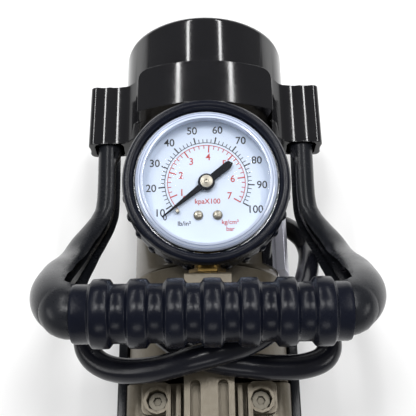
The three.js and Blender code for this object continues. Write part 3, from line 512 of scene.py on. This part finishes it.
def rounded_copy(name, width):
    """A copy of an engineering part with its sharp edges rounded to a width in millimetres."""
    bm = bmesh.new()
    bm.from_mesh(frame["nodes"][name].data)
    bmesh.ops.remove_doubles(bm, verts=bm.verts, dist=POINT_WELD)
    bmesh.ops.dissolve_limit(bm, angle_limit=FLAT_ENOUGH, verts=bm.verts, edges=bm.edges)
    raw = bpy.data.meshes.new(name + "_raw")
    bm.to_mesh(raw)
    bm.free()
    maker = bpy.data.objects.new(name + "_maker", raw)
    bpy.context.scene.collection.objects.link(maker)
    bevel = maker.modifiers.new("edges", "BEVEL")
    bevel.width = width * MM
    bevel.segments = BEVEL_STEPS
    bevel.limit_method = "ANGLE"
    bevel.angle_limit = math.radians(CREASE)
    bevel.use_clamp_overlap = False
    even = maker.modifiers.new("even_shading", "WEIGHTED_NORMAL")
    even.weight = LARGE_FACE_WEIGHT
    for face in raw.polygons:
        face.use_smooth = True
    mesh = baked_mesh(maker)
    piece = bpy.data.objects.new(name + "_rounded", mesh)
    bpy.context.scene.collection.objects.link(piece)
    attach(piece, body_of_node[name])
    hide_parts(name)
    slot = slot_of[name]
    return dress(piece, "screw_steel" if "screw" in name else slot, slot)


EDGE_WIDTHS = {
    "rear_housing": 0.4, "end_cover": 0.4, "switch_body": 0.3, "switch_rocker": 0.3, "power_socket": 0.3,
    "side_rail": 0.3, "motor_can": 0.25, "gearbox_housing": 0.6, "crankcase": 0.25, "front_cover": 0.5,
    "cylinder_block": 0.15, "cylinder_head": 0.1, "base_cradle": 0.6, "gauge_stem": 0.12, "hose_fitting": 0.2,
    "chuck_body": 0.3, "chuck_lever": 0.25,
    **{f"head_screw_{i}": 0.15 for i in range(1, 5)},
    **{f"foot_{end}_{side}": 0.4 for end in ("front", "rear") for side in ("left", "right")}}
for name, width in EDGE_WIDTHS.items():
    rounded_copy(name, width)
print("rounded", len(EDGE_WIDTHS))

# %% [markdown]
# ## The handle
# The real handle is one moulding: a round bar inside the grip that opens into a
# channel down each arm, with a rib in its floor, and closes to a plain bar at
# the sockets. A section whose shape changes slowly is carried along the line.

# %% Shape the handle
ARM = [(42, 77, 56.5), (42, 52, 56.6), (41.6, 26, 57.3), (43, 17, 58.6), (46, 9, 62), (48.6, 2, 66.5),
       (50.4, -6, 73), (51.4, -14, 83), (51.2, -23, 98), (49.8, -31, 111), (46, -37, 119.6)]
BAR_Y = -39.7
BAR_Z = 122
BAR_RADIUS = 7.6
BAR_HALF = 39
ARM_RADII = [(0, 5), (0.3, 5), (0.56, 7), (0.75, 8.6), (0.87, 8.8), (0.97, 8.2), (1, BAR_RADIUS)]
GROOVE_DEPTHS = [(0, 0), (0.16, 0), (0.22, 0.75), (0.9, 0.95), (0.95, 0), (1, 0)]
GROOVE_HALF = 0.66
RIB_HIGH = 0.4
RIB_HALF = 0.17
SOCKET_TILT = math.radians(24)
HANDLE_STEPS = 8


def ramp(table, at):
    """The value at a share, between the table's (share, value) pairs, eased."""
    for (a, low), (b, high) in zip(table[:-1], table[1:]):
        if at <= b:
            t = max(0, (at - a) / (b - a))
            return low + (high - low) * t * t * (3 - 2 * t)
    return table[-1][1]


def channel_section(radius, depth, sides=48):
    """A round section with a flat-floored groove of the depth on its -x side, and a rib in the floor."""
    points = []
    half = radius * GROOVE_HALF
    for i in range(sides):
        angle = 2 * math.pi * i / sides
        x = radius * math.cos(angle)
        y = radius * math.sin(angle)
        if x < 0 and abs(y) < half:
            floor = -radius + depth
            rib = depth * RIB_HIGH if abs(y) < radius * RIB_HALF else 0
            x = max(x, floor - rib) if depth > 0.01 else x
        points.append((x, y))
    return points


def handle_piece():
    """The right arm, the bar inside the grip and the mirrored left arm, as one solid."""
    right = [Vector(p) for p in ARM]
    knots = right + [Vector((x, BAR_Y, BAR_Z)) for x in (BAR_HALF, 0, -BAR_HALF)]
    knots += [Vector((-p.x, p.y, p.z)) for p in reversed(right)]
    middle = smooth_line(knots, HANDLE_STEPS)
    spans = len(middle) - 1
    lengths = [0]
    for a, b in zip(middle[:-1], middle[1:]):
        lengths.append(lengths[-1] + (b - a).length)
    arm_end = lengths[HANDLE_STEPS * len(ARM)]
    rings = []
    for i, centre in enumerate(middle):
        along = (middle[min(i + 1, spans)] - middle[max(i - 1, 0)]).normalized()
        across = along.cross(Vector((0, 0, 1))).normalized()
        over = across.cross(along)
        share = min(lengths[i], lengths[-1] - lengths[i]) / arm_end
        radius = ramp(ARM_RADII, share)
        groove = ramp(GROOVE_DEPTHS, share)
        facing = 1 if centre.x > 0 else -1
        out = across if across.x * facing > 0 else -across
        tilt = SOCKET_TILT * (1 - share)
        side = out * math.cos(tilt) - over * math.sin(tilt)
        lift = over * math.cos(tilt) + out * math.sin(tilt)
        ring = [centre + side * x + lift * y for x, y in channel_section(radius, groove * radius)]
        rings.append(ring if out is across else ring[::-1])
    bm = bmesh.new()
    grid_faces(bm, rings)
    return finish_mesh("handle_arms", bm, "frame", 38)


handle = dress(handle_piece(), "satin_black")
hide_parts("handle_frame")
print("handle faces", len(handle.data.polygons))

# %% [markdown]
# ## The grip
# The grip is a rubber sleeve with seven wide raised rings. A turned profile
# with rounded shoulders gives each ring its soft edge and its own shadow.

# %% Turn the grip
GRIP_LOW = -42.5
GRIP_HIGH = 44.3
GRIP_MIDDLE = 1.2
GRIP_RADIUS = 9.3
RING_RADIUS = 10.8
RING_STEP = 11.5
RING_HALF = 3.1


def rounded_step(at, low, high, rises, soft=0.7):
    """Points of a soft step between two radii at a place along the axis."""
    start, end = (low, high) if rises else (high, low)
    table = [(-soft, 0.0), (-soft * 0.6, 0.12), (0, 0.5), (soft * 0.6, 0.88), (soft, 1.0)]
    return [(start + (end - start) * share, at + shift) for shift, share in table]


def grip_profile():
    """The sleeve's section as (radius, place along the bar), from end to end."""
    bore = BAR_RADIUS + 0.3
    profile = [(bore, GRIP_LOW), (GRIP_RADIUS - 1.2, GRIP_LOW), (GRIP_RADIUS - 0.3, GRIP_LOW + 0.4),
               (GRIP_RADIUS, GRIP_LOW + 1.4)]
    for i in range(-3, 4):
        ring = GRIP_MIDDLE + i * RING_STEP
        profile += rounded_step(ring - RING_HALF, GRIP_RADIUS, RING_RADIUS, True)
        profile.append((RING_RADIUS + 0.12, ring))
        profile += rounded_step(ring + RING_HALF, GRIP_RADIUS, RING_RADIUS, False)
    profile += [(GRIP_RADIUS, GRIP_HIGH - 1.4), (GRIP_RADIUS - 0.3, GRIP_HIGH - 0.4),
                (GRIP_RADIUS - 1.2, GRIP_HIGH), (bore, GRIP_HIGH)]
    return profile


bar_place = Matrix.Translation((0, BAR_Y, BAR_Z)) @ Matrix.Rotation(math.pi / 2, 4, "Y")
grip = dress(turned("grip_sleeve", grip_profile(), bar_place, "frame", closed=True), "black_rubber")
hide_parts("handle_grip")
print("grip faces", len(grip.data.polygons))

# %% [markdown]
# ## The gauge
# The dial faces up and 12 degrees to the front. Every gauge piece is drawn flat
# about the dial's centre and moved by one matrix, so that they stay in line.

# %% The gauge's own place
GAUGE_TILT = math.radians(12)
GAUGE_CENTRE = (0, 13, 107)
gauge_place = Matrix.Translation(GAUGE_CENTRE) @ Matrix.Rotation(GAUGE_TILT, 4, "X")
BOOT_PROFILE = [
    (26.4, -2.6), (26.5, -1.2), (26.9, -0.3), (27.8, 0.25), (28.8, 0.35), (29.7, 0.0), (30.3, -0.9),
    (30.5, -2.2), (30.3, -4.4), (29.9, -7), (29.9, -9.4), (30.3, -11.2), (30.8, -12.6), (31, -14.2),
    (30.9, -15.8), (30.3, -17.6), (29.2, -19.8), (27.6, -21.7), (26, -22.3), (22, -22.3), (22, -21),
    (27.3, -21), (27.3, -2.8)]
print("gauge centre", GAUGE_CENTRE, "tilt", round(math.degrees(GAUGE_TILT), 1))

# %% [markdown]
# The rubber boot has a rolled lip in front and a belt of small round knurls
# behind it. The knurls are beads pushed half into the belt.

# %% Turn the rubber boot and its knurls
KNURLS = 26
KNURL_RADIUS = 1.6
KNURL_SPOT = (30.2, 0, -14.4)
KNURL_SHAPE = (1, 1.35, 1.6, 1)
boot = dress(turned("boot_ring", BOOT_PROFILE, gauge_place, "frame", 128, closed=True), "black_rubber")
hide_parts("gauge_boot")


def knurls():
    """A ring of beads, longest across the belt, as one piece."""
    bm = bmesh.new()
    for i in range(KNURLS):
        turn = Matrix.Rotation(2 * math.pi * (i + 0.5) / KNURLS, 4, "Z")
        shape = Matrix.Diagonal(KNURL_SHAPE)
        place = gauge_place @ turn @ Matrix.Translation(KNURL_SPOT) @ shape
        bmesh.ops.create_icosphere(bm, subdivisions=3, radius=KNURL_RADIUS, matrix=place)
    return finish_mesh("boot_knurls", bm, "frame", 60)


dress(knurls(), "black_rubber")
print("boot faces", len(boot.data.polygons))

# %% [markdown]
# The scale is printed ink. Thin raised plates stand for the ink, so that every
# mark has a crisp edge at any distance. Zero to one hundred is in black
# outside, and the same pressure in the other units is in red inside.

# %% Print the scales
PLATE = -5.2
INK_HIGH = -5.12
BLACK_ARC = 15.2
RED_ARC = 14.3
ARC_WIDTH = 0.24
BLACK_TICKS = {"major": (2.4, 0.48), "minor": (1.4, 0.26)}
RED_TICKS = {"major": (2.8, 0.46), "minor": (1.4, 0.28)}


def dial_spot(radius, clockwise_from_left):
    """A point on the dial. The angle starts at nine o'clock and goes clockwise."""
    a = math.radians(180 - clockwise_from_left)
    return radius * math.cos(a), radius * math.sin(a)


def black_angle(value):
    """Where a black value lies. The first ten are pressed together, the rest nearly even."""
    first = [(0, -38.6), (10, -33), (20, -5.4)]
    if value <= 20:
        for (a, low), (b, high) in zip(first[:-1], first[1:]):
            if value <= b:
                return low + (high - low) * (value - a) / (b - a)
    return -5.4 + (value - 20) * 2.69


def red_angle(value):
    """Where a red value lies, in even steps."""
    return -21.8 + (value - 1) * 38.75


def arc_band(bm, radius, from_angle, to_angle, steps=96):
    """A thin printed arc, outward from a radius."""
    outer = radius + ARC_WIDTH
    for i in range(steps):
        a = from_angle + (to_angle - from_angle) * i / steps
        b = from_angle + (to_angle - from_angle) * (i + 1) / steps
        corners = [dial_spot(radius, a), dial_spot(outer, a), dial_spot(outer, b), dial_spot(radius, b)]
        slab(bm, corners, PLATE, INK_HIGH, gauge_place)


def tick(bm, inner, outer, angle, width):
    """One printed line of the scale."""
    a = math.radians(180 - angle)
    along = Vector((math.cos(a), math.sin(a)))
    side = Vector((-along.y, along.x)) * width / 2
    corners = [along * inner - side, along * outer - side, along * outer + side, along * inner + side]
    slab(bm, [tuple(c) for c in corners], PLATE, INK_HIGH, gauge_place)


def black_scale():
    """The outer arc, with a line for every two units from ten up."""
    bm = bmesh.new()
    arc_band(bm, BLACK_ARC - ARC_WIDTH / 2, black_angle(0), black_angle(100))
    for value in range(10, 101, 2):
        length, width = BLACK_TICKS["major" if value % 10 == 0 else "minor"]
        tick(bm, BLACK_ARC, BLACK_ARC + length, black_angle(value), width)
    return finish_mesh("scale_black", bm, "frame", 30)


def red_scale():
    """The inner arc, with five lines to every unit."""
    bm = bmesh.new()
    arc_band(bm, RED_ARC - ARC_WIDTH, red_angle(0.5), red_angle(7))
    for step in range(5, 36):
        length, width = RED_TICKS["major" if step % 5 == 0 else "minor"]
        tick(bm, RED_ARC - length, RED_ARC, red_angle(step / 5), width)
    return finish_mesh("scale_red", bm, "frame", 30)


outer_scale = dress(black_scale(), "ink_black", "dial_white")
inner_scale = dress(red_scale(), "ink_red", "dial_white")
print("scale faces", len(outer_scale.data.polygons), len(inner_scale.data.polygons))

# %% [markdown]
# Numbers are text objects turned into thin solids, with the built-in letters.


# %% Print the numbers
INK_SPREAD = 0.009


def print_word(name, word, spot, size, ink):
    """A word as thin solid letters, centred on a spot of the dial."""
    data = bpy.data.curves.new(name, "FONT")
    data.body = word
    data.size = size * MM
    data.align_x = "CENTER"
    data.align_y = "CENTER"
    data.extrude = (INK_HIGH - PLATE) / 2 * MM
    data.offset = size * INK_SPREAD * MM
    maker = bpy.data.objects.new(name + "_maker", data)
    bpy.context.scene.collection.objects.link(maker)
    mesh = baked_mesh(maker)
    high = (PLATE + INK_HIGH) / 2
    place = gauge_place @ Matrix.Translation((spot[0], spot[1], high))
    scale = Matrix.Scale(MM, 4)
    mesh.transform(scale @ place @ Matrix.Scale(1 / MM, 4))
    piece = bpy.data.objects.new(name, mesh)
    bpy.context.scene.collection.objects.link(piece)
    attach(piece, "frame")
    return dress(piece, ink, "dial_white")


for value in range(10, 101, 10):
    print_word(f"number_black_{value}", str(value), dial_spot(20.3, black_angle(value)), 3.9, "ink_black")
for value in range(1, 8):
    print_word(f"number_red_{value}", str(value), dial_spot(9.7, red_angle(value)), 3.6, "ink_red")
WORDS = [
    ("number_black_0", "0", dial_spot(19.8, -40), 3.0, "ink_black"),
    ("number_red_0", "0", dial_spot(9.9, -36), 2.8, "ink_red"),
    ("unit_black", "lb/in²", (-8.2, -15.0), 2.4, "ink_black"),
    ("unit_red", "kpaX100", (0.3, -6.9), 2.6, "ink_red"),
    ("unit_red_area", "kg/cm²", (8.4, -14.6), 2.3, "ink_red"),
    ("unit_red_bar", "bar", (8.4, -17.1), 2.3, "ink_red")]
for name, word, spot, size, ink in WORDS:
    print_word(name, word, spot, size, ink)

# %% [markdown]
# Two small crosshead screws hold the dial, and a pin stops the pointer at
# zero. A turned cap with a dimple covers the pointer's hub.


# %% The dial's small metal pieces
SCREW_ROW = -12
SCREW_TURN = math.radians(20)
SCREW_SIDES = 40
SCREW_HEAD = [(0.001, -5.2), (1.75, -5.2), (1.78, -4.8), (1.55, -4.45), (1.1, -4.25)]
CROSS_ARM = 0.85
CROSS_CORNER = 0.3
STOP_PIN_SPOT = (-10.6, -10.5, 0)
STOP_PIN_PROFILE = [(0, -5.2), (0.75, -5.2), (0.75, -3.4), (0.55, -3.1), (0, -3.1)]


def dial_screw(name, x):
    """A low round head with a cross sunk into it."""
    bm = bmesh.new()
    place = gauge_place @ Matrix.Translation((x, SCREW_ROW, 0)) @ Matrix.Rotation(SCREW_TURN, 4, "Z")
    angles = [2 * math.pi * i / SCREW_SIDES for i in range(SCREW_SIDES)]
    rings = []
    for radius, height in SCREW_HEAD:
        rings.append([place @ Vector((radius * math.cos(a), radius * math.sin(a), height)) for a in angles])
    cross = []
    for a in angles:
        arm = min(abs(math.sin(a)), abs(math.cos(a))) < 0.2
        cross.append(CROSS_ARM if arm else CROSS_CORNER)
    for height, keep in [(-4.22, 1.0), (-4.6, 0.85)]:
        rings.append([place @ Vector((keep * r * math.cos(a), keep * r * math.sin(a), height))
                      for a, r in zip(angles, cross)])
    grid_faces(bm, rings)
    return finish_mesh(name, bm, "frame", 30)


dress(dial_screw("dial_screw_left", -3.1), "nickel", "steel")
dress(dial_screw("dial_screw_right", 3.9), "nickel", "steel")
pin_place = gauge_place @ Matrix.Translation(STOP_PIN_SPOT)
stop_pin = dress(turned("stop_pin", STOP_PIN_PROFILE, pin_place, "frame", 32), "nickel", "steel")
print("stop pin faces", len(stop_pin.data.polygons))

# %% [markdown]
# The pointer is one flat black needle. Its tip is fine, its tail is broad with
# a slanted end, and its top edges are bevelled. It turns with its hub and cap.


# %% Cut the pointer
POINTER_REST = math.radians(218.3)
POINTER_OUTLINE = [
    (20.6, -0.2), (20.6, 0.2), (3, 1.15), (-2.6, 1.35), (-10.2, 1.45), (-11.9, 0.75), (-11.4, -1.0),
    (-10.4, -1.45), (-2.6, -1.35), (3, -1.15)]
POINTER_LAYERS = [(0.12, -3.95), (0, -3.9), (0, -3.6), (0.3, -3.4)]


def pointer_needle():
    """The outline at four heights, drawn in a little at the top and bottom edges."""
    bm = bmesh.new()
    place = gauge_place @ Matrix.Rotation(POINTER_REST, 4, "Z")
    rings = []
    for inset, height in POINTER_LAYERS:
        ring = []
        for x, y in POINTER_OUTLINE:
            keep = max(0, 1 - inset / abs(y)) if abs(y) > inset else 0.2
            ring.append(place @ Vector((x, y * keep, height)))
        rings.append(ring)
    grid_faces(bm, rings)
    return finish_mesh("pointer_needle", bm, "pointer", 20)


dress(pointer_needle(), "gloss_black", "satin_black")
hub_profile = [(0, -4.3), (2.9, -4.3), (3.1, -4.1), (3.1, -3.15), (2.85, -2.9), (0, -2.9)]
hub = dress(turned("pointer_hub", hub_profile, gauge_place, "pointer", 64), "gloss_black", "satin_black")
cap_profile = [
    (0, -2.86), (2.3, -2.86), (2.4, -2.75), (2.4, -2.1), (2.2, -1.85), (0.75, -1.72), (0.6, -1.95),
    (0, -2.05)]
dress(turned("pointer_cap", cap_profile, gauge_place, "pointer", 64), "nickel", "steel")
pin_profile = [(0, -9), (0.8, -9), (0.8, -4.35), (0, -4.35)]
dress(turned("pointer_pin", pin_profile, gauge_place, "pointer", 24), "steel")
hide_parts("gauge_pointer")
print("pointer rests at", round(math.degrees(POINTER_REST), 1), "degrees")

# %% [markdown]
# The window is one clear moulding. Its face is flat, and its thick rim catches
# the light in fine rings just inside the rubber lip.

# %% Turn the window
FACE_PROFILE = [(0, -1.1), (22.85, -1.1), (22.85, 1.05), (22.7, 1.1), (0, 1.1)]
RIM_PROFILE = [
    (22.9, -1.1), (23.4, -4.9), (25.2, -4.9), (25.7, -3.6), (25.7, -0.9), (25.35, -0.2), (25.0, 0.15),
    (24.85, -0.25), (24.7, 0.3), (24.0, 0.75), (23.85, 0.3), (23.7, 0.85), (23.2, 1.0), (22.9, 1.05)]
window = dress(turned("window_face", FACE_PROFILE, gauge_place, "frame", 96), "clear")
# The rim's opaque pale blue-white finish is painted light for the clear plastic lit by the dial below.
rim = turned("window_rim", RIM_PROFILE, gauge_place, "frame", 128, closed=True, smooth_angle=25)
dress(rim, "window_rim", "clear")
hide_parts("gauge_lens")
print("window faces", len(window.data.polygons) + len(rim.data.polygons))

# %% [markdown]
# ## The outside of the can
# A plain black strip without print lies on the right of the can beside the
# silver rail.


# %% The black strip on the can
STRIP_OUTER = 30.9
STRIP_INNER = 30.32
STRIP_FROM = 24
STRIP_SWEEP = 20
STRIP_LONG = 57
STRIP_REAR = (0, 51, 48)
STRIP_STEPS = 12


def can_strip():
    """A strip curved like the can, just off its surface."""
    bm = bmesh.new()
    outline = []
    forth = range(STRIP_STEPS + 1)
    for radius, order in [(STRIP_OUTER, forth), (STRIP_INNER, reversed(forth))]:
        for i in order:
            a = math.radians(STRIP_FROM + STRIP_SWEEP * i / STRIP_STEPS)
            outline.append((radius * math.cos(a), radius * math.sin(a)))
    place = Matrix.Translation(STRIP_REAR) @ Matrix.Rotation(math.pi / 2, 4, "X")
    slab(bm, outline, 0, STRIP_LONG, place)
    return finish_mesh("can_strip", bm, "frame", 30)


strip = dress(can_strip(), "gloss_black")
print("strip faces", len(strip.data.polygons))


# %% The screws of the front cover
COVER_FACE = -103.6
COVER_SCREWS = [(-24, 15), (24, 15), (-24, 49), (24, 49)]
COVER_SCREW_PROFILE = [
    (0, 0), (3.6, 0), (3.6, 1.1), (3.1, 2.1), (2.1, 2.6), (1.6, 2.6), (1.4, 1.4), (0, 1.4)]
for i, (x, z) in enumerate(COVER_SCREWS):
    place = Matrix.Translation((x, COVER_FACE, z)) @ Matrix.Rotation(math.pi / 2, 4, "X")
    screw = turned(f"cover_screw_{i + 1}", COVER_SCREW_PROFILE, place, "frame", 32)
    dress(screw, "steel")
print("cover screws", len(COVER_SCREWS))

# %% [markdown]
# ## Floor and light
# The machine stands on a pale, even floor under broad soft lights. Two long
# lights run along the machine: they draw the pair of bright lines that show
# how round and glossy the black cap is. Two small lights high above the grip,
# one to each side, draw faint bands on its rings.


# %% Floor and lights
FLOOR_HALF = 4
WORLD_STRENGTH = 0.22
EXPOSURE = 0.16
LIGHT_AIM = (0, 0.05, 0.07)
LIGHTS = [
    ("strip_left", (-0.4, 0.5, 0.98), (0.05, 1.5), 5),
    ("strip_right", (0.4, 0.5, 0.98), (0.05, 1.5), 5),
    ("end_left", (-0.28, 0.12, 1.32), (0.2, 0.26), 3.4),
    ("end_right", (0.28, 0.12, 1.32), (0.2, 0.26), 3.4),
    ("front_fill", (0, -1.5, 0.9), (0.9, 0.4), 3.5),
    ("side_left", (-1.7, -0.3, 0.75), (0.3, 0.9), 4.5),
    ("side_right", (1.7, -0.3, 0.75), (0.3, 0.9), 4.5)]


def floor_material():
    """Nearly white, and dull enough not to mirror the machine."""
    material = bpy.data.materials.new("pale_floor")
    material.use_nodes = True
    shader = material.node_tree.nodes["Principled BSDF"]
    shader.inputs["Base Color"].default_value = (0.9, 0.9, 0.9, 1)
    shader.inputs["Roughness"].default_value = 0.8
    return material


floor_mesh = bpy.data.meshes.new("floor")
corners = [(x * FLOOR_HALF, y * FLOOR_HALF, 0) for x, y in ((-1, -1), (1, -1), (1, 1), (-1, 1))]
floor_mesh.from_pydata(corners, [], [(0, 1, 2, 3)])
floor_mesh.materials.append(floor_material())
floor = bpy.data.objects.new("floor", floor_mesh)
bpy.context.scene.collection.objects.link(floor)


def soft_light(name, place, size, power):
    """A soft rectangular light. Its second side lies as near front to back as its aim allows."""
    data = bpy.data.lights.new(name, "AREA")
    data.shape = "RECTANGLE"
    data.size, data.size_y = size
    data.energy = power
    lamp = bpy.data.objects.new(name, data)
    back = (Vector(place) - Vector(LIGHT_AIM)).normalized()
    length = (Vector((0, 1, 0)) - back * back.y).normalized()
    turn = Matrix((length.cross(back), length, back)).transposed().to_4x4()
    lamp.matrix_world = Matrix.Translation(place) @ turn
    bpy.context.scene.collection.objects.link(lamp)


for name, place, size, power in LIGHTS:
    soft_light(name, place, size, power)
world = bpy.data.worlds.new("white_room")
world.use_nodes = True
world.node_tree.nodes["Background"].inputs["Color"].default_value = (1, 1, 1, 1)
world.node_tree.nodes["Background"].inputs["Strength"].default_value = WORLD_STRENGTH
bpy.context.scene.world = world
bpy.context.scene.view_settings.view_transform = "Standard"
bpy.context.scene.view_settings.exposure = EXPOSURE
print("lights", len(bpy.data.lights))

# %% Update the scene
bpy.context.view_layer.update()
